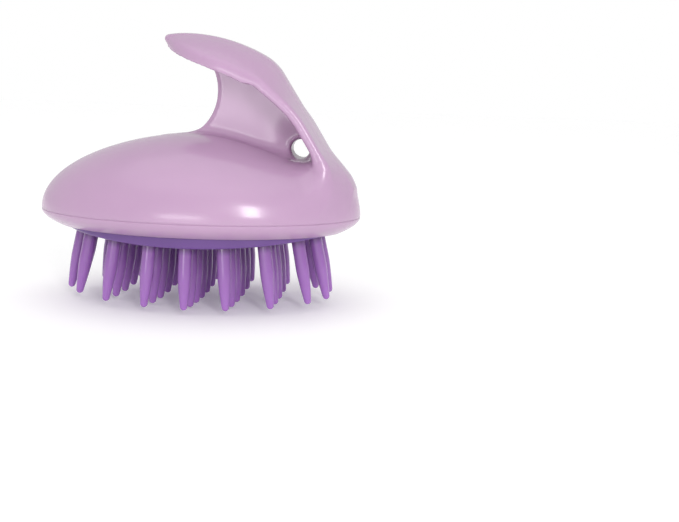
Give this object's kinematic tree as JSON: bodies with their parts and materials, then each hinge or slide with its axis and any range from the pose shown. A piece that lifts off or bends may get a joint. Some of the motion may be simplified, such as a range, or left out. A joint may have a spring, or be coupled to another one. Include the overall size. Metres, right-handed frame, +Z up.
{
  "type": "scalp massager brush",
  "caption": "Hand-held scalp massager: a hollow oval domed body with a hooked finger grip on top and a pad of round-tipped bristles splaying out below.",
  "frame": {"origin": "middle of the footprint at the level of the lowest bristle tip", "axes": "+Z up from the bristle tips to the grip; the hook of the grip opens towards -X and its foot runs down to +X; +Y across the body, square to the plane of symmetry"},
  "size_m": [0.09, 0.06, 0.0742],
  "materials": {
    "lilac_plastic": "glossy moulded lilac plastic",
    "purple_plastic": "glossy, slightly translucent purple plastic"
  },
  "bodies": {
    "root": {"upper_shell": "lilac_plastic", "lower_rim": "lilac_plastic", "carrier_plate": "purple_plastic", "bristle_pad": "purple_plastic", "bristle_01": "purple_plastic", "bristle_02": "purple_plastic", "bristle_03": "purple_plastic", "bristle_04": "purple_plastic", "bristle_05": "purple_plastic", "bristle_06": "purple_plastic", "bristle_07": "purple_plastic", "bristle_08": "purple_plastic", "bristle_09": "purple_plastic", "bristle_10": "purple_plastic", "bristle_11": "purple_plastic", "bristle_12": "purple_plastic", "bristle_13": "purple_plastic", "bristle_14": "purple_plastic", "bristle_15": "purple_plastic", "bristle_16": "purple_plastic", "bristle_17": "purple_plastic", "bristle_18": "purple_plastic", "bristle_19": "purple_plastic", "bristle_20": "purple_plastic", "bristle_21": "purple_plastic", "bristle_22": "purple_plastic", "bristle_23": "purple_plastic", "bristle_24": "purple_plastic", "bristle_25": "purple_plastic", "bristle_26": "purple_plastic", "bristle_27": "purple_plastic", "bristle_28": "purple_plastic", "bristle_29": "purple_plastic", "bristle_30": "purple_plastic", "bristle_31": "purple_plastic", "bristle_32": "purple_plastic", "bristle_33": "purple_plastic", "bristle_34": "purple_plastic", "bristle_35": "purple_plastic", "bristle_36": "purple_plastic", "bristle_37": "purple_plastic"}
  },
  "joints": []
}
